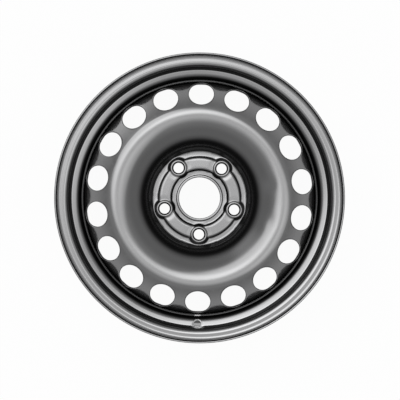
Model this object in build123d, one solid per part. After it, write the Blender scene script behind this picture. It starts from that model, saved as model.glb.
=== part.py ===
from build123d import *
import math
import os

# The wheel lies with its street side up. Z is the wheel's axis, z = 0 is the hub mounting face,
# and the valve hole is on the -Y side. All sizes are in millimetres and degrees.

# Rim contour, measured on the tyre side
bead_seat_diameter = 405.6
rim_width = 165.1
front_spacing = 44.55  # hub mounting face to the outer flange
rim_sheet = 2.5
flange_height = 17.5
flange_reach = 11.4
flange_roll_radius = 8.5
heel_radius = 5.5
seat_length = 20.0
seat_taper = 5.0
seat_bend_radius = 4.0
hump_height = 1.35
hump_distance = 27.0  # flange face to the hump's well side
hump_radius = 6.0
well_depth = 17.3
well_wall_lean = 12.0
well_corner_radius = 11.5
well_width = 40.0
ledge_depth = 5.8
ledge_climb_run = 20.0
ledge_rise = 2.3
ledge_bend_radius = 14.0
hump_foot_run = 5.5
rim_edge_round = 0.9

# Valve hole in the outer wall of the well
valve_hole_diameter = 11.3
valve_pad_diameter = 15.5
valve_pad_depth = 0.35
valve_hole_height = 10.2  # above the tyre side of the well floor
valve_punch_length = 10.0

# Disc
disc_sheet = 3.8
press_gap = 0.05  # skirt to well, on the radius
shoulder_setback = 2.0  # start of the well floor to start of the skirt
skirt_length = 19.5
shoulder_radius = 22.0
vent_cone_angle = 25.0
crest_diameter = 256.0
crest_flat = 1.0
crest_outer_radius = 30.0
crest_inner_radius = 30.0
bowl_slope = 29.5
bowl_knee_radius = 52.0
bowl_wall_angle = 58.0  # up from the hub face
bowl_foot_diameter = 150.4
bowl_foot_radius = 4.5
disc_edge_round = 0.9

# Hub face
bore_diameter = 64.1
collar_height = 6.5
collar_bend_radius = 1.0
pad_inner_diameter = 91.5
pad_outer_diameter = 124.5
pad_height = 3.4
pad_wall_run = 2.2
pad_shoulder_radius = 5.0
pad_foot_radius = 1.0

# Bolt seats
bolt_count = 5
bolt_circle = 114.3
bolt_hole_diameter = 16.0
bolt_seat_diameter = 21.6
bolt_seat_angle = 60.0
boss_top_diameter = 23.6
boss_foot_diameter = 30.8
boss_height = 4.3
boss_back_relief = 1.6
boss_top_round = 1.0
boss_foot_fillet = 3.0
boss_foot_run = 2.6
boss_foot_drop = 0.3

# Vents
vent_count = 18
vent_diameter = 39.0
vent_circle = 323.0
vent_punch_length = 23.0

# Weld beads
weld_count = 8
weld_leg = 4.6  # along the well floor
weld_bulge = 0.5
weld_sweep = 28.0


def mitred(points, distance):
    """The corners of a line moved sideways, to the right of its direction of travel."""
    directions = [(Vector(*b) - Vector(*a)).normalized() for a, b in zip(points, points[1:])]
    sides = [Vector(d.Y, -d.X) for d in directions]
    moved = [Vector(*points[0]) + sides[0] * distance]
    for corner, before, after in zip(points[1:-1], sides, sides[1:]):
        shift = (before + after) * (distance / (1 + before.dot(after)))
        moved.append(Vector(*corner) + shift)
    moved.append(Vector(*points[-1]) + sides[-1] * distance)
    return [(p.X, p.Y) for p in moved]


def sheet_ring(points, radii, thickness, edge_round):
    """A bent sheet turned about Z. The line gives one face, the other lies to its right."""
    other_radii = []
    for start, corner, end, radius in zip(points, points[1:], points[2:], radii):
        into = Vector(*corner) - Vector(*start)
        away = Vector(*end) - Vector(*corner)
        left_turn = into.cross(away).Z > 0
        other_radii.append(radius + thickness if left_turn else radius - thickness)
    corners = points + mitred(points, thickness)[::-1]
    rounding = [edge_round, *radii, edge_round, edge_round, *other_radii[::-1], edge_round]
    outline = FilletPolyline(*corners, radius=rounding, close=True)
    section = Plane.XZ * make_face(outline.edges())
    return revolve(section, Axis.Z)


def half_turn_length(radius, turn):
    """From a corner to where its round begins."""
    return radius * math.tan(math.radians(turn / 2))


# Places that the rim and the disc share
seat_r = bead_seat_diameter / 2
flange_r = seat_r + flange_height
outer_flange_z = front_spacing
inner_flange_z = front_spacing - rim_width
seat_end_r = seat_r - seat_length * math.tan(math.radians(seat_taper))
hump_r = seat_end_r + hump_height
floor_r = seat_r - well_depth
well_top_z = outer_flange_z - hump_distance
well_wall_slope = math.tan(math.radians(well_wall_lean))
well_corner_z = well_top_z - (hump_r - floor_r) * well_wall_slope
floor_start_z = well_corner_z - half_turn_length(well_corner_radius, 90 - well_wall_lean)
floor_end_z = well_corner_z - well_width
skirt_r = floor_r - rim_sheet - press_gap
skirt_top_z = floor_start_z - shoulder_setback
skirt_end_z = skirt_top_z - skirt_length


def make_rim():
    ledge_r = seat_r - ledge_depth
    inner_hump_z = inner_flange_z + hump_distance
    line = [
        (flange_r, outer_flange_z + flange_reach),
        (flange_r, outer_flange_z),
        (seat_r, outer_flange_z),
        (seat_end_r, outer_flange_z - seat_length),
        (hump_r, well_top_z),
        (floor_r, well_corner_z),
        (floor_r, floor_end_z),
        (ledge_r, floor_end_z - ledge_climb_run),
        (ledge_r + ledge_rise, inner_hump_z + hump_foot_run),
        (hump_r, inner_hump_z),
        (seat_end_r, inner_flange_z + seat_length),
        (seat_r, inner_flange_z),
        (flange_r, inner_flange_z),
        (flange_r, inner_flange_z - flange_reach),
    ]
    radii = [
        flange_roll_radius,
        heel_radius,
        seat_bend_radius,
        hump_radius,
        well_corner_radius,
        ledge_bend_radius,
        ledge_bend_radius,
        seat_bend_radius,
        hump_radius,
        seat_bend_radius,
        heel_radius,
        flange_roll_radius,
    ]
    rim = sheet_ring(line, radii, rim_sheet, rim_edge_round)
    # The valve hole stands square to the wall, in a coined flat
    hole_r = floor_r + valve_hole_height
    hole_z = well_corner_z + valve_hole_height * well_wall_slope
    lean = math.radians(well_wall_lean)
    out_of_wall = Vector(0, math.sin(lean), math.cos(lean))
    tyre_face = Plane(Vector(0, -hole_r, hole_z), x_dir=(1, 0, 0), z_dir=out_of_wall)
    hole = Cylinder(valve_hole_diameter / 2, valve_punch_length)
    pad = Cylinder(
        valve_pad_diameter / 2, rim_sheet, align=(Align.CENTER, Align.CENTER, Align.MIN)
    )
    rim -= tyre_face * hole
    rim -= tyre_face.offset(rim_sheet - valve_pad_depth) * pad
    return rim


def make_disc():
    crest_r = crest_diameter / 2
    shoulder_z = skirt_top_z + half_turn_length(shoulder_radius, 90 - vent_cone_angle)
    cone_top_r = crest_r + crest_flat / 2 + half_turn_length(crest_outer_radius, vent_cone_angle)
    cone_slope = math.tan(math.radians(vent_cone_angle))
    crest_z = shoulder_z + (skirt_r - cone_top_r) * cone_slope
    bowl_top_r = crest_r - crest_flat / 2 - half_turn_length(crest_inner_radius, bowl_slope)
    collar_r = bore_diameter / 2 + disc_sheet
    pad_inner_r = pad_inner_diameter / 2
    pad_outer_r = pad_outer_diameter / 2
    front_z = disc_sheet
    pad_z = front_z + pad_height
    # The knee is where the steep wall from the foot meets the slope from the crest
    foot_r = bowl_foot_diameter / 2
    slope = math.tan(math.radians(bowl_slope))
    wall_slope = math.tan(math.radians(bowl_wall_angle))
    slope_over_foot = crest_z - (bowl_top_r - foot_r) * slope - front_z
    knee_run = slope_over_foot / (wall_slope - slope)
    line = [
        (collar_r, front_z + collar_height),
        (collar_r, front_z),
        (pad_inner_r - pad_wall_run, front_z),
        (pad_inner_r, pad_z),
        (pad_outer_r, pad_z),
        (pad_outer_r + pad_wall_run, front_z),
        (foot_r, front_z),
        (foot_r + knee_run, front_z + knee_run * wall_slope),
        (bowl_top_r, crest_z),
        (cone_top_r, crest_z),
        (skirt_r, shoulder_z),
        (skirt_r, skirt_end_z),
    ]
    radii = [
        collar_bend_radius,
        pad_foot_radius,
        pad_shoulder_radius,
        pad_shoulder_radius,
        pad_foot_radius,
        bowl_foot_radius,
        bowl_knee_radius,
        crest_inner_radius,
        crest_outer_radius,
        shoulder_radius,
    ]
    disc = sheet_ring(line, radii, disc_sheet, disc_edge_round)
    # The vents are pierced square to the cone
    vent_r = vent_circle / 2
    vent_z = crest_z - (vent_r - cone_top_r) * cone_slope
    lean = math.radians(vent_cone_angle)
    square_to_cone = Vector(0, math.sin(lean), math.cos(lean))
    vent_plane = Plane(Vector(0, vent_r, vent_z), x_dir=(1, 0, 0), z_dir=square_to_cone)
    punch = vent_plane * Cylinder(vent_diameter / 2, vent_punch_length)
    disc -= [Rotation(0, 0, 360 / vent_count * index) * punch for index in range(vent_count)]
    bolt_places = [
        Rotation(0, 0, 360 / bolt_count * index) * Pos(0, -bolt_circle / 2, 0)
        for index in range(bolt_count)
    ]
    disc += [place * make_bolt_boss() for place in bolt_places]
    disc -= [place * make_bolt_seat() for place in bolt_places]
    return disc


def make_bolt_boss():
    """The raised ring round one bolt hole, turned about the bolt's axis."""
    top_z = disc_sheet + boss_height
    foot_r = boss_foot_diameter / 2
    skirting_r = foot_r + boss_foot_run
    corners = [
        (0, boss_back_relief),
        (skirting_r, boss_back_relief),
        (skirting_r, disc_sheet - boss_foot_drop),
        (foot_r, disc_sheet),
        (boss_top_diameter / 2, top_z),
        (0, top_z),
    ]
    rounding = [0, 0, 0, boss_foot_fillet, boss_top_round, 0]
    outline = FilletPolyline(*corners, radius=rounding, close=True)
    return revolve(Plane.XZ * make_face(outline.edges()), Axis.Z)


def make_bolt_seat():
    """The hole and conical seat of one bolt."""
    top_z = disc_sheet + boss_height
    hole_r = bolt_hole_diameter / 2
    mouth_r = bolt_seat_diameter / 2
    half_angle = math.radians(bolt_seat_angle / 2)
    seat_depth = (mouth_r - hole_r) / math.tan(half_angle)
    above = disc_sheet
    corners = [
        (0, -disc_sheet),
        (hole_r, -disc_sheet),
        (hole_r, top_z - seat_depth),
        (mouth_r + above * math.tan(half_angle), top_z + above),
        (0, top_z + above),
    ]
    return revolve(Plane.XZ * make_face(Polyline(*corners, close=True).edges()), Axis.Z)


def make_weld_beads():
    """Fillet beads in the corner between the end of the skirt and the well floor."""
    wall_r = floor_r - rim_sheet
    root = Vector(wall_r, skirt_end_z)
    on_skirt = Vector(skirt_r - disc_sheet + disc_edge_round, skirt_end_z)
    on_well = Vector(wall_r, skirt_end_z - weld_leg)
    middle = (on_skirt + on_well) / 2
    crown = middle + (middle - root).normalized() * weld_bulge
    edges = [Line(root, on_skirt), ThreePointArc(on_skirt, crown, on_well), Line(on_well, root)]
    section = Plane.XZ * make_face(edges)
    bead = revolve(section, Axis.Z, weld_sweep)
    step = 360 / weld_count
    return Compound(children=[Rotation(0, 0, step * index) * bead for index in range(weld_count)])


os.makedirs("parts", exist_ok=True)
export_step(make_rim(), "parts/rim.step")
export_step(make_disc(), "parts/disc.step")
export_step(make_weld_beads(), "parts/weld_beads.step")
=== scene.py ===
import math
import bmesh
import bpy
import numpy as np
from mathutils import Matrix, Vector


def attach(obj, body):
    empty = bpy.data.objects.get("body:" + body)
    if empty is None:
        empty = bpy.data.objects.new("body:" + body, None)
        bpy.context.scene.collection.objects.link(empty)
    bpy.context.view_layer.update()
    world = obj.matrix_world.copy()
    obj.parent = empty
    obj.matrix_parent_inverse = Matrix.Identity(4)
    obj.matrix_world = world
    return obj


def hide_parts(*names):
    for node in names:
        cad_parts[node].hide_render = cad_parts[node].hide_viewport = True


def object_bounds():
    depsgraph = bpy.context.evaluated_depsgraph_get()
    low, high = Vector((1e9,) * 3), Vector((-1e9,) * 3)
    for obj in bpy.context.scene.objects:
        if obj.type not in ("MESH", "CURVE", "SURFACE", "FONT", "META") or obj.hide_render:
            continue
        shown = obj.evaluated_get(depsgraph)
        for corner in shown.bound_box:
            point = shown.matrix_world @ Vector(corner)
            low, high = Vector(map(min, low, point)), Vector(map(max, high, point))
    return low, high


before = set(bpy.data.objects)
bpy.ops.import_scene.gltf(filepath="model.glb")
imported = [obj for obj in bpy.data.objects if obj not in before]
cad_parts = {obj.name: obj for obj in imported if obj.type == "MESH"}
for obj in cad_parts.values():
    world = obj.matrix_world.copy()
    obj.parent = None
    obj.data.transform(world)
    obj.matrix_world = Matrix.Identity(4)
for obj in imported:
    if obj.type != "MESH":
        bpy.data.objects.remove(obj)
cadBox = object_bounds()
scene = bpy.context.scene
scene.view_settings.view_transform = "Standard"
mm = 0.001
weldDistance = 2e-6  # metres
farBelow = -80.0  # a height under everything, in millimetres
print("frame loaded", sorted(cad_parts))


class Tap:  # one socket of a node tree, for plain sums
    def __init__(self, desk, socket):
        self.desk = desk
        self.socket = socket

    def compute(self, operation, first, second):
        return self.desk.add("ShaderNodeMath", {"operation": operation}, {0: first, 1: second})

    def __add__(self, other):
        return self.compute("ADD", self, other)

    def __radd__(self, other):
        return self.compute("ADD", other, self)

    def __sub__(self, other):
        return self.compute("SUBTRACT", self, other)

    def __rsub__(self, other):
        return self.compute("SUBTRACT", other, self)

    def __mul__(self, other):
        return self.compute("MULTIPLY", self, other)

    def __rmul__(self, other):
        return self.compute("MULTIPLY", other, self)

    def __truediv__(self, other):
        return self.compute("DIVIDE", self, other)

    def __pow__(self, other):
        return self.compute("POWER", self, other)


class Desk:  # adds nodes to one tree
    def __init__(self, tree):
        self.tree = tree
        tree.nodes.clear()

    def add(self, kind, settings=None, sockets=None, out=0):
        node = self.tree.nodes.new(kind)
        for name, value in (settings or {}).items():
            if name == "stops":
                self.setStops(node.color_ramp, value)
            else:
                setattr(node, name, value)
        for key, value in (sockets or {}).items():
            if isinstance(value, Tap):
                self.tree.links.new(value.socket, node.inputs[key])
            else:
                node.inputs[key].default_value = value
        return Tap(self, node.outputs[out]) if len(node.outputs) else node

    def setStops(self, ramp, stops):
        while len(ramp.elements) > 1:
            ramp.elements.remove(ramp.elements[-1])
        for index, (place, value) in enumerate(stops):
            stop = ramp.elements[0] if index == 0 else ramp.elements.new(place)
            stop.position = place
            stop.color = (value, value, value, 1)

    def other(self, tap, name):
        return Tap(self, tap.socket.node.outputs[name])


# the camera looks straight down the axle at a wheel that lies on a pale floor
studio = {
    "cameraHeight": 1.596,
    "lens": 91.55,
    "sensor": 36.0,
    "farClip": 50.0,
    "roll": math.radians(1.0),
    "frameShift": (0.001125, -0.00525),  # shares of the frame's width
    "floorSize": 12.0,
    "floorTone": 0.9,
    "shadowShare": 0.045,
    "skyTop": 4.0,
}


def makeCamera():
    lens = bpy.data.cameras.new("viewCamera")
    lens.sensor_width = studio["sensor"]
    lens.lens = studio["lens"]
    lens.shift_x, lens.shift_y = studio["frameShift"]
    lens.clip_end = studio["farClip"]
    camera = bpy.data.objects.new("viewCamera", lens)
    camera.location = (0, 0, studio["cameraHeight"])
    camera.rotation_euler = (0, 0, studio["roll"])
    scene.collection.objects.link(camera)
    scene.camera = camera


def makeFloor():
    half = studio["floorSize"] / 2
    low = cadBox[0][2]
    mesh = bpy.data.meshes.new("studioFloor")
    corners = [(-half, -half, low), (half, -half, low), (half, half, low), (-half, half, low)]
    mesh.from_pydata(corners, [], [(0, 1, 2, 3)])
    floor = bpy.data.objects.new("studioFloor", mesh)
    scene.collection.objects.link(floor)
    material = bpy.data.materials.new("paleFloor")
    material.use_nodes = True
    desk = Desk(material.node_tree)
    tone = studio["floorTone"]
    matte = desk.add("ShaderNodeBsdfDiffuse", {}, {"Color": (tone, tone, tone, 1)})
    glow = desk.add("ShaderNodeEmission", {}, {"Color": (1, 1, 1, 1), "Strength": 1.0})
    path = desk.add("ShaderNodeLightPath", {}, {}, "Is Camera Ray")
    seen = desk.add("ShaderNodeMath", {"operation": "MAXIMUM"},
                    {0: path, 1: desk.other(path, "Is Glossy Ray")})
    seen = desk.add("ShaderNodeMath", {"operation": "MAXIMUM"},
                    {0: seen, 1: desk.other(path, "Is Transmission Ray")})
    both = desk.add("ShaderNodeMixShader", {},
                    {0: seen * (1 - studio["shadowShare"]), 1: matte, 2: glow})
    desk.add("ShaderNodeOutputMaterial", {}, {"Surface": both})
    mesh.materials.append(material)


softLights = [  # degrees off the axle and round from the right, degrees of full light and to the edge
    {"off": 25, "round": 130, "full": 9, "edge": 27, "level": 1.7},
    {"off": 14, "round": 84, "full": 3, "edge": 14, "level": 0.7},
    {"off": 25, "round": -22, "full": 5, "edge": 20, "level": 0.75},
    {"off": 53, "round": 136, "full": 3, "edge": 15, "level": 0.32},
]
skyFall = [  # degrees off the axle, level
    (0, 1.42), (2.5, 1.47), (8, 1.64), (14, 1.42), (21, 1.0), (29, 0.65), (36, 0.55), (46, 0.53),
    (54, 0.5), (62, 0.46), (68, 0.2), (73, 0.1), (83, 0.1), (87, 0.4), (90, 0.8),
]


def makeSky():  # soft light from the street side, brightest round the camera and up to the left
    world = bpy.data.worlds.new("softStudio")
    scene.world = world
    world.use_nodes = True
    desk = Desk(world.node_tree)
    ray = desk.add("ShaderNodeTexCoord", {}, {}, "Generated")
    height = desk.add("ShaderNodeSeparateXYZ", {}, {"Vector": ray}, "Z")
    off = desk.add("ShaderNodeMath", {"operation": "ARCCOSINE"}, {0: height}) / math.radians(90)
    top = studio["skyTop"]
    stops = [(degrees / 90, level / top) for degrees, level in skyFall]
    light = desk.add("ShaderNodeValToRGB", {"stops": stops}, {"Fac": off}) * top
    for lamp in softLights:
        out = math.radians(lamp["off"])
        turn = math.radians(lamp["round"])
        aim = (math.sin(out) * math.cos(turn), math.sin(out) * math.sin(turn), math.cos(out))
        near = desk.add("ShaderNodeVectorMath", {"operation": "DOT_PRODUCT"},
                        {0: ray, 1: aim}, "Value")
        glow = desk.add("ShaderNodeMapRange", {"interpolation_type": "SMOOTHSTEP"},
                        {"Value": near, "From Min": math.cos(math.radians(lamp["edge"])),
                         "From Max": math.cos(math.radians(lamp["full"]))})
        light = light + glow * lamp["level"]
    glow = desk.add("ShaderNodeBackground", {}, {"Color": (1, 1, 1, 1), "Strength": light})
    desk.add("ShaderNodeOutputWorld", {}, {"Surface": glow})


makeCamera()
makeFloor()
makeSky()
print("studio ready")


# satin black dip paint with painted light: faces square to the axle are painted lighter grey, a painted
# reflection of the studio light, and steep walls are painted darker, painted shade
paint = {
    "metal": 0.95, "rough": 0.15, "roughSpread": 0.06, "edgeTint": 0.4, "blueShare": 1.01,
    "peelScale": 260.0, "peelDetail": 2.0, "peelDepth": 0.012, "peelReach": 0.0004,
    "cloudScale": 22.0, "cloudDetail": 4.0,
    "waveScale": 9.0, "waveDetail": 1.0, "waveReach": 0.0035,
    "rampReach": 0.25, "rampMost": 4.0,  # what a ring's radius and share are divided by for the ramp
}
rimLook = {
    "open": 0.27, "steep": 0.045, "from": 0.8, "to": 0.96, "wear": 0.08, "wave": 0.10,
    # tone shares by radius: below one is painted shade, above one a painted highlight
    "rings": [(0.184, 0.5), (0.188, 0.5), (0.1895, 0.68), (0.1915, 0.82), (0.1935, 0.8),
              (0.1968, 0.84), (0.1985, 1.25), (0.1988, 0.6), (0.1993, 0.6), (0.19975, 1.15),
              (0.2002, 0.7), (0.202, 0.9), (0.2042, 1.4), (0.2062, 1.08), (0.208, 0.74),
              (0.2105, 0.74), (0.213, 1.0), (0.2148, 1.5), (0.2165, 2.0), (0.2185, 1.4),
              (0.2195, 0.6), (0.2203, 0.2)],
    # painted shade, then a painted highlight, on the inboard flange seen through the valve hole
    "inboard": [(0.206, 0.3), (0.2112, 0.3), (0.2126, 1.7)],
    "inboardFrom": -0.09, "inboardTo": -0.1,
    "softFrom": 0.2, "softTo": 0.2045,  # painted lighter tone on the rolled flange, a painted reflection
    "softSteep": 0.15, "softOpen": 0.72,
}
discLook = {
    "open": 0.225, "steep": 0.05, "from": 0.75, "to": 0.94, "wear": 0.08, "wave": 0.22,
    # tone shares by radius: below one is painted shade, above one a painted highlight
    "rings": [(0.074, 1.0), (0.0765, 2.3), (0.0785, 2.6), (0.0812, 2.6), (0.0843, 0.6),
              (0.0885, 0.6), (0.0935, 0.82), (0.099, 1.0), (0.132, 1.0), (0.146, 1.35),
              (0.16, 1.58), (0.169, 1.62), (0.1712, 2.7), (0.1735, 2.2), (0.176, 0.7)],
    "softFrom": 0.158, "softTo": 0.168,  # and on the outer web, also a painted reflection
    "softSteep": 0.58, "softOpen": 0.87,
}
weldLook = {"open": 0.2, "steep": 0.06, "from": 0.3, "to": 0.9, "wear": 0.2, "wave": 0.0}
seamLook = {
    "open": 0.048, "steep": 0.02, "from": 0.3, "to": 0.9, "wear": 0.3, "wave": 0.0,
    # tone shares by radius: a painted highlight, then painted shade
    "rings": [(0.1812, 1.5), (0.1826, 1.2), (0.1838, 0.5)],
    "litSpotTone": 0.26, "litSpotHalf": 0.003, "litSpotEdge": 0.006,  # a painted highlight on the seam by the valve hole
}


# a tone share by radius: below one is painted shade, above one a painted highlight
def shadeAndHighlightRamp(desk, out, rings):  # radius in metres, share of the tone
    reach = paint["rampReach"]
    most = paint["rampMost"]
    stops = [(r / reach, share / most) for r, share in rings]
    return desk.add("ShaderNodeValToRGB", {"stops": stops}, {"Fac": out / reach}) * most


def makePaint(name, look):
    material = bpy.data.materials.new(name)
    material.use_nodes = True
    desk = Desk(material.node_tree)
    place = desk.add("ShaderNodeTexCoord", {}, {}, "Object")
    # how square a face stands to the axle sets the tone: painted reflection on open faces, painted
    # shade on steep walls
    upright = desk.add("ShaderNodeSeparateXYZ", {}, {"Vector": desk.other(place, "Normal")}, "Z")
    level = desk.add("ShaderNodeMath", {"operation": "ABSOLUTE"}, {0: upright})
    face = desk.add("ShaderNodeMapRange", {"interpolation_type": "SMOOTHSTEP"},
                    {"Value": level, "From Min": look["from"], "From Max": look["to"]})
    peel = desk.add("ShaderNodeTexNoise", {"noise_dimensions": "3D"},
                    {"Vector": place, "Scale": paint["peelScale"], "Detail": paint["peelDetail"]})
    cloud = desk.add("ShaderNodeTexNoise", {"noise_dimensions": "3D"},
                     {"Vector": place, "Scale": paint["cloudScale"],
                      "Detail": paint["cloudDetail"]})
    side = desk.add("ShaderNodeSeparateXYZ", {}, {"Vector": place}, "X")
    out = (side * side + desk.other(side, "Y") * desk.other(side, "Y")) ** 0.5
    # tilted faces in one band of radius are painted lighter: painted reflection
    if "softFrom" in look:
        soft = desk.add("ShaderNodeMapRange", {"interpolation_type": "SMOOTHSTEP"},
                        {"Value": level, "From Min": look["softSteep"],
                         "From Max": look["softOpen"]})
        where = desk.add("ShaderNodeMapRange", {},
                         {"Value": out, "From Min": look["softFrom"], "From Max": look["softTo"]})
        face = desk.add("ShaderNodeMath", {"operation": "MAXIMUM"}, {0: face, 1: soft * where})
    tone = look["steep"] + face * (look["open"] - look["steep"])
    shade = tone * (1 - look["wear"] / 2 + cloud * look["wear"])
    if "rings" in look:  # painted shade in the hollows and painted highlights on some bands, by radius
        shade = shade * shadeAndHighlightRamp(desk, out, look["rings"])
    if "inboard" in look:  # painted shade, then a painted highlight, by radius on the inboard flange
        back = desk.add("ShaderNodeMapRange", {},
                        {"Value": desk.other(side, "Z"), "From Min": look["inboardFrom"],
                         "From Max": look["inboardTo"]})
        shade = shade * (1 + back * (shadeAndHighlightRamp(desk, out, look["inboard"]) - 1))
    if "litSpotTone" in look:  # a painted highlight on the valve's side
        beside = desk.add("ShaderNodeMath", {"operation": "ABSOLUTE"}, {0: side})
        litSpot = desk.add("ShaderNodeMapRange", {"interpolation_type": "SMOOTHSTEP"},
                        {"Value": beside, "From Min": look["litSpotEdge"],
                         "From Max": look["litSpotHalf"]})
        low = desk.add("ShaderNodeMath", {"operation": "LESS_THAN"},
                       {0: desk.other(side, "Y"), 1: 0.0})
        shade = shade + litSpot * low * (look["litSpotTone"] - shade)
    colour = desk.add("ShaderNodeCombineColor", {},
                      {"Red": shade, "Green": shade, "Blue": shade * paint["blueShare"]})
    rough = paint["rough"] - paint["roughSpread"] / 2 + cloud * paint["roughSpread"]
    bump = desk.add("ShaderNodeBump", {}, {"Height": peel, "Strength": paint["peelDepth"],
                                           "Distance": paint["peelReach"]})
    if look["wave"]:  # slow waves left by the press
        wave = desk.add("ShaderNodeTexNoise", {"noise_dimensions": "3D"},
                        {"Vector": place, "Scale": paint["waveScale"],
                         "Detail": paint["waveDetail"]})
        bump = desk.add("ShaderNodeBump", {}, {"Height": wave, "Strength": look["wave"],
                                               "Distance": paint["waveReach"], "Normal": bump})
    body = desk.add("ShaderNodeBsdfPrincipled", {},
                    {"Base Color": colour, "Metallic": paint["metal"], "Roughness": rough,
                     "Normal": bump, "Specular Tint": (paint["edgeTint"],) * 3 + (1,)})
    desk.add("ShaderNodeOutputMaterial", {}, {"Surface": body})
    return material


rimPaint = makePaint("rimPaint", rimLook)
discPaint = makePaint("discPaint", discLook)
weldPaint = makePaint("weldPaint", weldLook)
seamPaint = makePaint("seamPaint", seamLook)
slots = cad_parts["weld_beads"].data.materials
slots.clear()
slots.append(weldPaint)
print("paint ready")


# millimetres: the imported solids' sizes, with the hump and the well's corner fitted to the photograph
wheelSizes = {
    "seatR": 202.8, "rimWidth": 165.1, "outerFlange": 44.55, "rimSheet": 2.5,
    "flangeHeight": 17.5, "flangeReach": 11.4, "flangeRoll": 8.5, "heel": 5.5,
    "seatLength": 20.0, "seatTaper": math.radians(5.0), "seatBend": 4.0,
    "humpHeight": 1.85, "humpDistance": 27.0, "humpRound": 4.0,
    "wellDepth": 17.3, "wellLean": math.radians(12.0), "wellCorner": 10.0, "wellWidth": 40.0,
    "ledgeDepth": 5.8, "ledgeRun": 20.0, "ledgeRise": 2.3, "ledgeBend": 14.0, "humpFoot": 5.5,
    "edgeRound": 0.9, "discSheet": 3.8, "pressGap": 0.05, "setback": 3.11, "skirtLength": 19.5,
}


def roundLine(corners, radii, step):  # a line of corners with each one rounded
    points = [np.array(corners[0], float)]
    for before, corner, after, radius in zip(corners, corners[1:], corners[2:], radii):
        corner = np.array(corner, float)
        back = np.array(before, float) - corner
        ahead = np.array(after, float) - corner
        back /= np.linalg.norm(back)
        ahead /= np.linalg.norm(ahead)
        half = 0.5 * math.acos(max(-1.0, min(1.0, float(back @ ahead))))
        middle = (back + ahead) / np.linalg.norm(back + ahead)
        centre = corner + middle * radius / math.sin(half)
        first = corner + back * radius / math.tan(half) - centre
        last = corner + ahead * radius / math.tan(half) - centre
        turn = math.pi - 2 * half
        count = max(2, math.ceil(radius * turn / step))
        for index in range(count + 1):
            share = index / count
            swing = math.sin((1 - share) * turn) * first + math.sin(share * turn) * last
            points.append(centre + swing / math.sin(turn))
    points.append(np.array(corners[-1], float))
    return np.array(points)


def moveSideways(corners, distance):  # to the right of the line's travel
    corners = np.array(corners, float)
    along = np.diff(corners, axis=0)
    along /= np.linalg.norm(along, axis=1)[:, None]
    sides = np.stack([along[:, 1], -along[:, 0]], axis=1)
    moved = [corners[0] + sides[0] * distance]
    for corner, before, after in zip(corners[1:-1], sides, sides[1:]):
        moved.append(corner + (before + after) * distance / (1 + before @ after))
    moved.append(corners[-1] + sides[-1] * distance)
    return np.array(moved)


def otherRadii(corners, radii, sheet):  # the bends of the other face of the sheet
    result = []
    for before, corner, after, radius in zip(corners, corners[1:], corners[2:], radii):
        into = np.subtract(corner, before)
        away = np.subtract(after, corner)
        leftTurn = into[0] * away[1] - into[1] * away[0] > 0
        result.append(radius + sheet if leftTurn else radius - sheet)
    return result


def splitRuns(points, longest, guard=0.0):  # guard rows near the ends keep a flat run flat to the eye
    result = [points[0]]
    for start, end in zip(points, points[1:]):
        length = np.linalg.norm(end - start)
        count = max(1, math.ceil(length / longest))
        shares = [index / count for index in range(1, count + 1)]
        if guard and length > 5 * guard:  # room for both
            shares = sorted({guard / length, *shares, 1 - guard / length})
        result += [start + (end - start) * share for share in shares]
    return np.array(result)


def turnPoints(line, angles):  # rows along the line, columns round the axle
    r = line[:, 0][:, None]
    z = np.repeat(line[:, 1][:, None], len(angles), axis=1)
    return np.stack([r * np.cos(angles), r * np.sin(angles), z], axis=2)


class Shell:  # gathers grids of points into one mesh
    def __init__(self):
        self.points = []
        self.faces = []

    def addGrid(self, grid, wrap=False):
        rows, columns = grid.shape[:2]
        first = len(self.points)
        self.points += [tuple(p) for p in (grid.reshape(-1, 3) * mm)]
        reach = columns if wrap else columns - 1
        for row in range(rows - 1):
            for column in range(reach):
                beside = (column + 1) % columns
                low = first + row * columns
                high = low + columns
                self.faces.append((low + column, low + beside, high + beside, high + column))

    def makeObject(self, name, material):
        mesh = bpy.data.meshes.new(name)
        mesh.from_pydata(self.points, [], self.faces)
        mesh.materials.append(material)
        piece = bpy.data.objects.new(name, mesh)
        scene.collection.objects.link(piece)
        return piece


def makeTurnTree():  # copies of a sector round the axle
    tree = bpy.data.node_groups.new("turnedCopies", "GeometryNodeTree")
    face = tree.interface
    face.new_socket("Geometry", in_out="INPUT", socket_type="NodeSocketGeometry")
    copies = face.new_socket("Copies", in_out="INPUT", socket_type="NodeSocketInt")
    finish = face.new_socket("Finish", in_out="INPUT", socket_type="NodeSocketMaterial")
    weld = face.new_socket("Weld Distance", in_out="INPUT", socket_type="NodeSocketFloat")
    face.new_socket("Geometry", in_out="OUTPUT", socket_type="NodeSocketGeometry")
    desk = Desk(tree)
    given = desk.add("NodeGroupInput", {}, {}, "Geometry")
    count = desk.other(given, "Copies")
    spots = desk.add("GeometryNodePoints", {}, {"Count": count})
    number = desk.add("GeometryNodeInputIndex")
    angle = number * math.tau / count
    turn = desk.add("ShaderNodeCombineXYZ", {}, {"Z": angle})
    placed = desk.add("GeometryNodeInstanceOnPoints", {},
                      {"Points": spots, "Instance": given, "Rotation": turn})
    solid = desk.add("GeometryNodeRealizeInstances", {}, {"Geometry": placed})
    joined = desk.add("GeometryNodeMergeByDistance", {},
                      {"Geometry": solid, "Distance": desk.other(given, "Weld Distance")})
    smooth = desk.add("GeometryNodeSetShadeSmooth", {}, {"Geometry": joined})
    coated = desk.add("GeometryNodeSetMaterial", {},
                      {"Geometry": smooth, "Material": desk.other(given, "Finish")})
    desk.add("NodeGroupOutput", {}, {"Geometry": coated})
    return tree, copies.identifier, finish.identifier, weld.identifier


turnTree, copiesInput, finishInput, weldInput = makeTurnTree()


def turnCopies(piece, copies, material):
    modifier = piece.modifiers.new("turnedCopies", "NODES")
    modifier.node_group = turnTree
    modifier[copiesInput] = copies
    modifier[finishInput] = material
    modifier[weldInput] = weldDistance
    bakeModifiers(piece)


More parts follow.
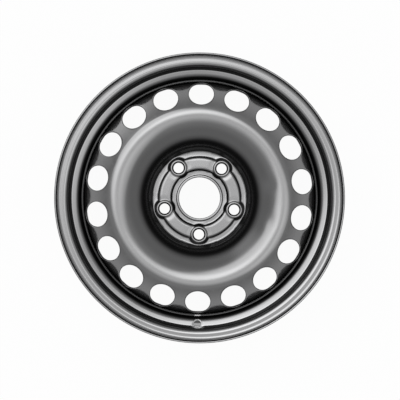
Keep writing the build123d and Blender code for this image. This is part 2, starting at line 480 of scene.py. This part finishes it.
def bakeModifiers(piece):
    view = bpy.context.evaluated_depsgraph_get()
    mesh = bpy.data.meshes.new_from_object(piece.evaluated_get(view))
    piece.modifiers.clear()
    piece.data = mesh


def closeMesh(piece):  # merges what touches and turns the faces outwards
    shape = bmesh.new()
    shape.from_mesh(piece.data)
    bmesh.ops.remove_doubles(shape, verts=shape.verts, dist=weldDistance)
    bmesh.ops.recalc_face_normals(shape, faces=shape.faces)
    for face in shape.faces:
        face.smooth = True
    openEdges = sum(not edge.is_manifold for edge in shape.edges)
    count = sum(len(face.verts) - 2 for face in shape.faces)
    shape.to_mesh(piece.data)
    shape.free()
    print(piece.name, "triangles", count, "open edges", openEdges)


def handOver(piece, node):
    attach(piece, "root")
    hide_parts(node)


size = wheelSizes
flangeR = size["seatR"] + size["flangeHeight"]
innerFlange = size["outerFlange"] - size["rimWidth"]
seatEndR = size["seatR"] - size["seatLength"] * math.tan(size["seatTaper"])
humpR = seatEndR + size["humpHeight"]
floorR = size["seatR"] - size["wellDepth"]
wellTop = size["outerFlange"] - size["humpDistance"]
wellSlope = math.tan(size["wellLean"])
wellCorner = wellTop - (humpR - floorR) * wellSlope
floorStart = wellCorner - size["wellCorner"] * math.tan((math.pi / 2 - size["wellLean"]) / 2)
floorEnd = wellCorner - size["wellWidth"]
ledgeR = size["seatR"] - size["ledgeDepth"]
innerHump = innerFlange + size["humpDistance"]

rimDetail = {"step": 1.6, "longest": 9.0, "guard": 0.4, "columns": 12, "copies": 36}
valveHole = {
    "height": 10.5, "holeR": 5.65, "edge": 0.35,
    "padR": 7.6, "padDepth": 0.9, "padReach": 9.0, "padFlare": 0.2, "padFoot": 0.25,
    "punchLow": -3.0, "punchRound": 0.2, "punchStep": 0.12, "punchColumns": 48,
    "flatDepth": 4.4, "flatZ": 22.0, "flatSpread": 9.0, "flatFrom": 195.0, "flatTo": 199.0,
    "flatHalf": 3.5, "flatFade": 10.0,
    "sharpFrom": math.radians(32.0), "sharpReach": 13.0,
}


def makeRim():
    corners = [
        (flangeR, size["outerFlange"] + size["flangeReach"]), (flangeR, size["outerFlange"]),
        (size["seatR"], size["outerFlange"]), (seatEndR, size["outerFlange"] - size["seatLength"]),
        (humpR, wellTop), (floorR, wellCorner), (floorR, floorEnd),
        (ledgeR, floorEnd - size["ledgeRun"]),
        (ledgeR + size["ledgeRise"], innerHump + size["humpFoot"]), (humpR, innerHump),
        (seatEndR, innerFlange + size["seatLength"]), (size["seatR"], innerFlange),
        (flangeR, innerFlange), (flangeR, innerFlange - size["flangeReach"]),
    ]
    radii = [size["flangeRoll"], size["heel"], size["seatBend"], size["humpRound"],
             size["wellCorner"], size["ledgeBend"], size["ledgeBend"], size["seatBend"],
             size["humpRound"], size["seatBend"], size["heel"], size["flangeRoll"]]
    edge = size["edgeRound"]
    sheet = size["rimSheet"]
    inside = moveSideways(corners, sheet)
    loop = [*corners, *inside[::-1]]
    bends = [*radii, edge, edge, *otherRadii(corners, radii, sheet)[::-1], edge, edge]
    straight = size["flangeReach"] - size["flangeRoll"] - edge
    start = (flangeR, corners[0][1] - edge - straight / 2)  # on the straight run of the lip
    line = roundLine([start, *loop[1:], loop[0], start], bends, rimDetail["step"])
    line = splitRuns(line, rimDetail["longest"], rimDetail["guard"])
    step = math.tau / rimDetail["copies"]
    sector = Shell()
    sector.addGrid(turnPoints(line, np.linspace(0, step, rimDetail["columns"] + 1)))
    rim = sector.makeObject("pressedRim", rimPaint)
    turnCopies(rim, rimDetail["copies"], rimPaint)
    flattenHump(rim)
    closeMesh(rim)
    return rim


def readPlaces(piece):
    places = np.empty(len(piece.data.vertices) * 3)
    piece.data.vertices.foreach_get("co", places)
    return places.reshape(-1, 3) / mm


def writePlaces(piece, places):
    piece.data.vertices.foreach_set("co", (places * mm).ravel())


def easeIn(value, low, high):
    share = np.clip((value - low) / (high - low), 0, 1)
    return share * share * (3 - 2 * share)


def flattenHump(rim):  # the hump is pressed back beside the valve
    v = valveHole
    places = readPlaces(rim)
    r = np.hypot(places[:, 0], places[:, 1])
    beside = np.abs(places[:, 0]) + 2 * v["flatFade"] * (places[:, 1] > 0)
    push = v["flatDepth"] * (1 - easeIn(beside, v["flatHalf"], v["flatFade"]))
    push *= easeIn(r, v["flatFrom"], v["flatTo"])
    push *= np.exp(-((places[:, 2] - v["flatZ"]) / v["flatSpread"]) ** 2)
    places[:, :2] *= (1 + push / r)[:, None]
    writePlaces(rim, places)


def makeValvePunch():  # square to the wall of the well
    v = valveHole
    lean = size["wellLean"]
    low = v["punchLow"]
    floor = size["rimSheet"] - v["padDepth"]
    roof = floor + v["padReach"]
    line = roundLine([(0, low), (v["holeR"], low), (v["holeR"], floor), (v["padR"], floor),
                      (v["padR"] + v["padFlare"], roof), (0, roof)],
                     [v["punchRound"], v["edge"], v["padFoot"], v["punchRound"]], v["punchStep"])
    turned = turnPoints(line, np.linspace(0, math.tau, v["punchColumns"] + 1))
    side = np.array([1.0, 0.0, 0.0])
    out = np.array([0.0, math.sin(lean), math.cos(lean)])
    up = np.cross(out, side)
    place = np.array([0.0, -(floorR + v["height"]), wellCorner + v["height"] * wellSlope])
    punch = Shell()
    punch.addGrid(place + turned[..., :1] * side + turned[..., 1:2] * up + turned[..., 2:] * out)
    tool = punch.makeObject("valvePunch", rimPaint)
    closeMesh(tool)
    return tool


def pierce(piece, tool):
    modifier = piece.modifiers.new("pierce", "BOOLEAN")
    modifier.operation = "DIFFERENCE"
    modifier.solver = "EXACT"
    modifier.object = tool
    bakeModifiers(piece)
    bpy.data.objects.remove(tool)


def sharpenValve(piece):  # crisp edges round the pad and the hole
    v = valveHole
    centre = Vector((0, -(floorR + v["height"]), wellCorner + v["height"] * wellSlope)) * mm
    shape = bmesh.new()
    shape.from_mesh(piece.data)
    for edge in shape.edges:
        middle = (edge.verts[0].co + edge.verts[1].co) / 2
        if (middle - centre).length < v["sharpReach"] * mm:
            edge.smooth = edge.calc_face_angle(0) < v["sharpFrom"]
    shape.to_mesh(piece.data)
    shape.free()


rim = makeRim()
pierce(rim, makeValvePunch())
sharpenValve(rim)
handOver(rim, "rim")
print("rim ready")


discSizes = {
    "shoulder": 22.0, "coneAngle": math.radians(22.5), "dishR": 155.0, "dishRound": 250.0,
    "fallAngle": math.radians(27.0), "crestR": 130.0, "crestFlat": 1.0,
    "outerCrest": 25.0, "innerCrest": 45.0, "bowlSlope": math.radians(28.0), "kneeRound": 52.0,
    "wallAngle": math.radians(56.0), "footRound": 4.5, "valleyWidth": 7.95,
    "boreR": 32.05, "collarHeight": 6.5, "collarBend": 1.0,
    "padInnerR": 45.75, "padOuterR": 62.25, "padHeight": 3.4, "padWall": 3.2,
    "padShoulder": 5.0, "padFoot": 1.0, "padReach": 4.0, "edgeRound": 0.9,
}
boltSizes = {
    "count": 5, "circleR": 57.15, "holeR": 8.0, "mouthR": 10.2, "seatHalfAngle": math.radians(30.0),
    "topR": 11.8, "footR": 17.4, "height": 4.3, "topRound": 1.0, "footRound": 3.0, "blend": 0.9,
    "tailRun": 14.0, "tailDrop": 1.6, "profileStep": 0.1,
    "mouthRim": 0.3, "mouthRound": 0.25, "seatRound": 0.4, "backRound": 0.3, "backRim": 0.9,
    "saddle": 0.45, "saddleR": 14.5, "saddleSpread": 3.6,
    "relief": 1.6, "backBlend": 0.5,
    "backFill": [(0, 1.6), (15.6, 1.6), (18.2, 3.3), (19.0, 9.0)],  # from the bolt's axis, height
    "reach": math.radians(24.0), "ringR": 18.0, "step": 0.7, "columns": 48, "sideColumns": 12,
    "frontRings": 6, "backRings": 3, "backRows": 3,
}
ventSizes = {
    "count": 18, "radius": 19.5, "circleR": 161.5, "lean": math.radians(24.0),
    "rollover": 1.1, "burr": 0.5, "innerR": 139.5, "outerR": 181.3, "outerBackR": 178.3,
    "columns": 20, "rows": 10, "rings": 5, "crowding": 0.8, "lipRows": 4,
    "probeLow": -30.0, "probeHigh": 20.0, "probeRounds": 45,
}
discDetail = {  # lengths of a row, most turn of a row, every how many points of the skirt are kept
    "line": 0.25, "bowlFront": 3.8, "bowlBack": 5.4, "skirtPick": 8, "tip": 0.4, "skirt": 4.0,
    "bend": 0.13, "bendGap": 0.5, "collar": 0.9, "collarRun": 1.5, "hub": 2.4,
    "seat": 0.3, "seatRun": 1.6,
}
hubR = 38.6  # where the turned collar meets the bolt faces
joinR = 77.2  # and those the bowl


def smoothMax(first, second, soft):
    share = np.clip(0.5 + 0.5 * (first - second) / soft, 0, 1)
    return second * (1 - share) + first * share + soft * share * (1 - share)


def halfTurn(radius, turn):  # from a bend's corner to its end
    return radius * math.tan(turn / 2)


def discOutline():
    d = discSizes
    skirtR = floorR - size["rimSheet"] - size["pressGap"]
    skirtTop = floorStart - size["setback"]
    shoulderZ = skirtTop + halfTurn(d["shoulder"], math.pi / 2 - d["coneAngle"])
    dishZ = shoulderZ + (skirtR - d["dishR"]) * math.tan(d["coneAngle"])
    fallTopR = d["crestR"] + d["crestFlat"] / 2 + halfTurn(d["outerCrest"], d["fallAngle"])
    crestZ = dishZ + (d["dishR"] - fallTopR) * math.tan(d["fallAngle"])
    bowlTopR = d["crestR"] - d["crestFlat"] / 2 - halfTurn(d["innerCrest"], d["bowlSlope"])
    sheet = size["discSheet"]
    slope = math.tan(d["bowlSlope"])
    wall = math.tan(d["wallAngle"])
    footR = d["padOuterR"] + d["padWall"] + d["valleyWidth"]
    kneeRun = (crestZ - (bowlTopR - footR) * slope - sheet) / (wall - slope)
    collarR = d["boreR"] + sheet
    padZ = sheet + d["padHeight"]
    corners = [
        (collarR, sheet + d["collarHeight"]), (collarR, sheet),
        (d["padInnerR"] - d["padWall"], sheet), (d["padInnerR"], padZ),
        (d["padOuterR"], padZ), (d["padOuterR"] + d["padWall"], sheet),
        (footR, sheet), (footR + kneeRun, sheet + kneeRun * wall), (bowlTopR, crestZ),
        (fallTopR, crestZ), (d["dishR"], dishZ), (skirtR, shoulderZ),
        (skirtR, skirtTop - size["skirtLength"]),
    ]
    radii = [d["collarBend"], d["padFoot"], d["padShoulder"], d["padShoulder"], d["padFoot"],
             d["footRound"], d["kneeRound"], d["innerCrest"], d["outerCrest"], d["dishRound"],
             d["shoulder"]]
    back = moveSideways(corners, sheet)
    backRadii = otherRadii(corners, radii, sheet)
    ventZ = shoulderZ + (skirtR - ventSizes["circleR"]) * math.tan(d["coneAngle"])
    return corners, radii, back, backRadii, ventZ


discCorners, discRadii, backCorners, backRadii, ventZ = discOutline()
frontLine = roundLine(discCorners, discRadii, discDetail["line"])
backLine = roundLine(backCorners, backRadii, discDetail["line"])


def slopePart(line):  # the part of a face that is a height over the radius
    keep = np.concatenate([[True], np.diff(line[:, 0]) > 1e-6])
    return line[keep]


frontSlope = slopePart(frontLine)
backSlope = slopePart(backLine)


def heightOn(slope, r):
    return np.interp(r, slope[:, 0], slope[:, 1], right=farBelow)


def runOn(slope):  # length along the face
    steps = np.linalg.norm(np.diff(slope, axis=0), axis=1)
    return np.concatenate([[0.0], np.cumsum(steps)])


frontRun = runOn(frontSlope)
backRun = runOn(backSlope)


def rowsBetween(slope, low, high, longest):  # radii that follow the bends of a face
    inside = slope[(slope[:, 0] > low) & (slope[:, 0] < high)]
    picked = [np.array([low, heightOn(slope, low)])]
    for point, after in zip(inside, inside[1:]):
        gap = np.linalg.norm(point - picked[-1])
        bend = math.atan2(*(after - point)[::-1]) - math.atan2(*(point - picked[-1])[::-1])
        if gap > longest or (abs(bend) > discDetail["bend"] and gap > discDetail["bendGap"]):
            picked.append(point)
    picked.append(np.array([high, heightOn(slope, high)]))
    return splitRuns(np.array(picked), longest)


def makeVentSector():
    v = ventSizes
    width = math.tau / v["count"]
    angles = np.linspace(-width / 2, width / 2, v["columns"] + 1) + math.pi / 2
    sector = Shell()
    for slope, longest in ((frontSlope, "bowlFront"), (backSlope, "bowlBack")):
        rows = rowsBetween(slope, joinR, v["innerR"], discDetail[longest])
        sector.addGrid(turnPoints(rows, angles))
    # the skirt, from the front of the shoulder round its end to the back
    edge = discSizes["edgeRound"]
    pick = discDetail["skirtPick"]
    front = [p for p in frontSlope if p[0] > v["outerR"]]
    outside = [(v["outerR"], heightOn(frontSlope, v["outerR"])), *front[::pick]]
    back = [p for p in backSlope if p[0] > v["outerBackR"]]
    inside = [*back[::pick][::-1], (v["outerBackR"], heightOn(backSlope, v["outerBackR"]))]
    tip = roundLine([outside[-1], discCorners[-1], backCorners[-1], inside[0]], [edge, edge],
                    discDetail["tip"])
    skirt = splitRuns(np.array([*outside[:-1], *tip, *inside[1:]]), discDetail["skirt"])
    sector.addGrid(turnPoints(skirt, angles))
    # one vent with its rolled-over edge
    lean = v["lean"]
    axis = np.array([0.0, math.sin(lean), math.cos(lean)])
    down = np.array([0.0, math.cos(lean), -math.sin(lean)])
    across = np.array([1.0, 0.0, 0.0])
    centre = np.array([0.0, v["circleR"], ventZ])

    def ringOn(slope, radius, directions):  # where a round punch meets a face
        spokes = np.cos(directions)[:, None] * across + np.sin(directions)[:, None] * down
        flat = centre + radius * spokes
        low = np.full(len(directions), v["probeLow"])
        high = np.full(len(directions), v["probeHigh"])
        for _ in range(v["probeRounds"]):
            middle = (low + high) / 2
            spot = flat + middle[:, None] * axis
            above = spot[:, 2] > heightOn(slope, np.hypot(spot[:, 0], spot[:, 1]))
            high = np.where(above, middle, high)
            low = np.where(above, low, middle)
        return flat + ((low + high) / 2)[:, None] * axis

    def patch(slope, run, outerR, lip, side):  # from the sector's edge to the vent's
        ends = np.interp([v["innerR"], outerR], slope[:, 0], run)
        half = width / 2
        turn = np.linspace(-half, half, v["columns"] + 1)
        rows = np.linspace(ends[0], ends[1], v["rows"] + 1)
        edgeTurn = np.concatenate([turn[:-1], np.full(v["rows"], half),
                                   turn[:0:-1], np.full(v["rows"], -half)])
        edgeRun = np.concatenate([np.full(v["columns"], ends[0]), rows[:-1],
                                  np.full(v["columns"], ends[1]), rows[:0:-1]])
        middleRun = np.interp(v["circleR"], slope[:, 0], run)
        directions = np.arctan2(edgeRun - middleRun, -edgeTurn * v["circleR"])
        lipRing = ringOn(slope, v["radius"] + lip, directions)
        lipTurn = np.arctan2(lipRing[:, 1], lipRing[:, 0]) - math.pi / 2
        lipRun = np.interp(np.hypot(lipRing[:, 0], lipRing[:, 1]), slope[:, 0], run)
        rings = []
        for share in np.linspace(0, 1, v["rings"] + 1) ** v["crowding"]:
            along = edgeRun * (1 - share) + lipRun * share
            turned = edgeTurn * (1 - share) + lipTurn * share + math.pi / 2
            r = np.interp(along, run, slope[:, 0])
            z = np.interp(along, run, slope[:, 1])
            rings.append(np.stack([r * np.cos(turned), r * np.sin(turned), z], axis=1))
        for swing in np.linspace(0, math.pi / 2, v["lipRows"] + 1)[1:]:
            ring = ringOn(slope, v["radius"] + lip * (1 - math.sin(swing)), directions)
            rings.append(ring - side * lip * (1 - math.cos(swing)) * axis)
        return np.array(rings), directions

    front, spokes = patch(frontSlope, frontRun, v["outerR"], v["rollover"], 1)
    back = patch(backSlope, backRun, v["outerBackR"], v["burr"], -1)[0]
    # both faces end in the punched wall; the back ring is set on the front's spokes
    wallBack = ringOn(backSlope, v["radius"], spokes) + v["burr"] * axis
    sector.addGrid(front, wrap=True)
    wallFront = front[-1]
    sector.addGrid(np.array([wallFront, (wallFront * 2 + wallBack) / 3,
                             (wallFront + wallBack * 2) / 3, wallBack]), wrap=True)
    back[-1] = wallBack
    sector.addGrid(back, wrap=True)
    return sector.makeObject("ventSector", discPaint)


def hubFront(x, y):  # the turned pads with one raised boss
    b = boltSizes
    r = np.hypot(x, y)
    base = heightOn(frontSlope, r)
    away = np.hypot(x, y + b["circleR"])
    sheet = size["discSheet"]
    raised = np.clip((base - sheet) / discSizes["padHeight"], 0, 1)
    raised = raised * (r < discSizes["padOuterR"] + discSizes["padReach"])
    base = base - raised * b["saddle"] * np.exp(-((away - b["saddleR"]) / b["saddleSpread"]) ** 2)
    top = sheet + b["height"]
    boss = roundLine([(0, top), (b["topR"], top), (b["footR"], sheet),
                      (b["footR"] + b["tailRun"], sheet - b["tailDrop"])],
                     [b["topRound"], b["footRound"]], b["profileStep"])
    return smoothMax(base, heightOn(boss, away), b["blend"])


def hubBack(x, y):  # the underside, with a shallow hollow at the bolt
    b = boltSizes
    base = heightOn(backSlope, np.hypot(x, y))
    away = np.hypot(x, y + b["circleR"])
    fill = np.interp(away, *zip(*b["backFill"]))
    return -smoothMax(-base, -fill, b["backBlend"])


def makeHubSector():
    b = boltSizes
    half = math.pi / b["count"]
    straight = -math.pi / 2
    sector = Shell()
    columns = b["columns"]
    sideColumns = b["sideColumns"]
    turns = np.linspace(-half, half, columns + 2 * sideColumns + 1)
    # bore and collar
    edge = discSizes["edgeRound"]
    collar = [(hubR, 0.0), backCorners[1], backCorners[0], discCorners[0], discCorners[1],
              (hubR, size["discSheet"])]
    line = roundLine(collar, [backRadii[0], edge, edge, discRadii[0]], discDetail["collar"])
    grid = turnPoints(splitRuns(line, discDetail["collarRun"]), turns + straight)
    grid[-1, :, 2] = hubFront(grid[-1, :, 0], grid[-1, :, 1])
    sector.addGrid(grid)
    # faces beside the bolt
    rows = rowsBetween(frontSlope, hubR, joinR, discDetail["hub"])[:, 0]
    for low, high in ((-half, -b["reach"]), (b["reach"], half)):
        side = np.linspace(low, high, sideColumns + 1) + straight
        x = rows[:, None] * np.cos(side)
        y = rows[:, None] * np.sin(side)
        sector.addGrid(np.stack([x, y, hubFront(x, y)], axis=2))
        sector.addGrid(np.stack([x, y, hubBack(x, y)], axis=2))
    # face round the bolt hole
    arc = np.linspace(-b["reach"], b["reach"], columns + 1)
    edgeTurn = np.concatenate([arc[:-1], np.full(len(rows) - 1, b["reach"]), arc[:0:-1],
                               np.full(len(rows) - 1, -b["reach"])]) + straight
    edgeR = np.concatenate([np.full(columns, hubR), rows[:-1],
                            np.full(columns, joinR), rows[:0:-1]])
    edgeX = edgeR * np.cos(edgeTurn)
    edgeY = edgeR * np.sin(edgeTurn)
    spokes = np.arctan2(edgeY + b["circleR"], edgeX)

    def ring(away):  # round the bolt's axis
        return away * np.cos(spokes), away * np.sin(spokes) - b["circleR"]

    def blendRings(height, count):  # from the edge of the face to a round ring
        ringX, ringY = ring(b["ringR"])
        layers = []
        for share in np.linspace(0, 1, count + 1):
            x = edgeX * (1 - share) + ringX * share
            y = edgeY * (1 - share) + ringY * share
            layers.append(np.stack([x, y, height(x, y)], axis=1))
        return layers

    front = blendRings(hubFront, b["frontRings"])
    for away in np.arange(b["ringR"] - b["step"], b["topR"] - b["topRound"], -b["step"]):
        x, y = ring(away)
        front.append(np.stack([x, y, hubFront(x, y)], axis=1))
    top = size["discSheet"] + b["height"]
    depth = (b["mouthR"] - b["holeR"]) / math.tan(b["seatHalfAngle"])
    seat = roundLine([(b["mouthR"] + b["mouthRim"], top), (b["mouthR"], top),
                      (b["holeR"], top - depth), (b["holeR"], b["relief"]),
                      (b["holeR"] + b["backRim"], b["relief"])],
                     [b["mouthRound"], b["seatRound"], b["backRound"]], discDetail["seat"])
    for away, z in splitRuns(seat[1:], discDetail["seatRun"]):
        x, y = ring(away)
        front.append(np.stack([x, y, np.full_like(x, z)], axis=1))
    back = blendRings(hubBack, b["backRings"])
    for away in np.linspace(b["ringR"], b["holeR"] + b["backRim"], b["backRows"] + 1)[1:]:
        x, y = ring(away)
        back.append(np.stack([x, y, hubBack(x, y)], axis=1))
    back[-1] = front[-1]
    sector.addGrid(np.array(front), wrap=True)
    sector.addGrid(np.array(back), wrap=True)
    return sector.makeObject("hubSector", discPaint)


pressMarks = [  # millimetres, and degrees round from the right
    {"r": 115.0, "round": -18.0, "depth": 0.5, "out": 7.0, "along": 13.0},
    {"r": 111.0, "round": 11.0, "depth": 0.75, "out": 8.0, "along": 12.0},
    {"r": 144.5, "round": 159.0, "depth": 0.3, "out": 4.0, "along": 6.0},
]


def pressIn(piece):  # shallow marks in both faces of the sheet
    places = readPlaces(piece)
    r = np.hypot(places[:, 0], places[:, 1])
    turn = np.arctan2(places[:, 1], places[:, 0])
    for mark in pressMarks:
        swing = (turn - math.radians(mark["round"]) + math.pi) % math.tau - math.pi
        far = ((r - mark["r"]) / mark["out"]) ** 2 + (swing * mark["r"] / mark["along"]) ** 2
        places[:, 2] -= mark["depth"] * np.exp(-far)
    writePlaces(piece, places)


def makeDisc():
    outer = makeVentSector()
    turnCopies(outer, ventSizes["count"], discPaint)
    hub = makeHubSector()
    turnCopies(hub, boltSizes["count"], discPaint)
    shape = bmesh.new()
    shape.from_mesh(outer.data)
    shape.from_mesh(hub.data)
    shape.to_mesh(outer.data)
    shape.free()
    bpy.data.objects.remove(hub)
    outer.name = "pressedDisc"
    pressIn(outer)
    closeMesh(outer)
    return outer


disc = makeDisc()
handOver(disc, "disc")
print("disc ready")

paintSeam = {
    "height": 8.0, "sag": 0.45, "depth": 3.0, "tuck": 0.12, "topPoints": 7, "columns": 10, "copies": 36,
}


def makePaintSeam():  # paint that has run into the crevice between the shoulder and the rim
    s = paintSeam
    skirtTop = floorStart - size["setback"]
    wallR = floorR - size["rimSheet"]
    bendR = size["wellCorner"] + size["rimSheet"]

    def onDisc(height):
        fall = discSizes["shoulder"] - math.sqrt(discSizes["shoulder"] ** 2 - height ** 2)
        return wallR - size["pressGap"] - fall - s["tuck"], skirtTop + height

    def onRim(height):
        over = max(0.0, height - size["setback"])
        return wallR + bendR - math.sqrt(bendR ** 2 - over ** 2) + s["tuck"], skirtTop + height

    left = onDisc(s["height"])
    right = onRim(s["height"])
    low = s["height"] - s["depth"]
    top = [(left[0] + (right[0] - left[0]) * share, left[1] - s["sag"] * math.sin(math.pi * share))
           for share in np.linspace(0, 1, s["topPoints"])]
    line = np.array([*top, onRim(low), onDisc(low), top[0]])
    seam = Shell()
    seam.addGrid(turnPoints(line, np.linspace(0, math.tau / s["copies"], s["columns"] + 1)))
    piece = seam.makeObject("paintSeam", seamPaint)
    turnCopies(piece, s["copies"], seamPaint)
    closeMesh(piece)
    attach(piece, "root")


makePaintSeam()
print("paint seam ready")
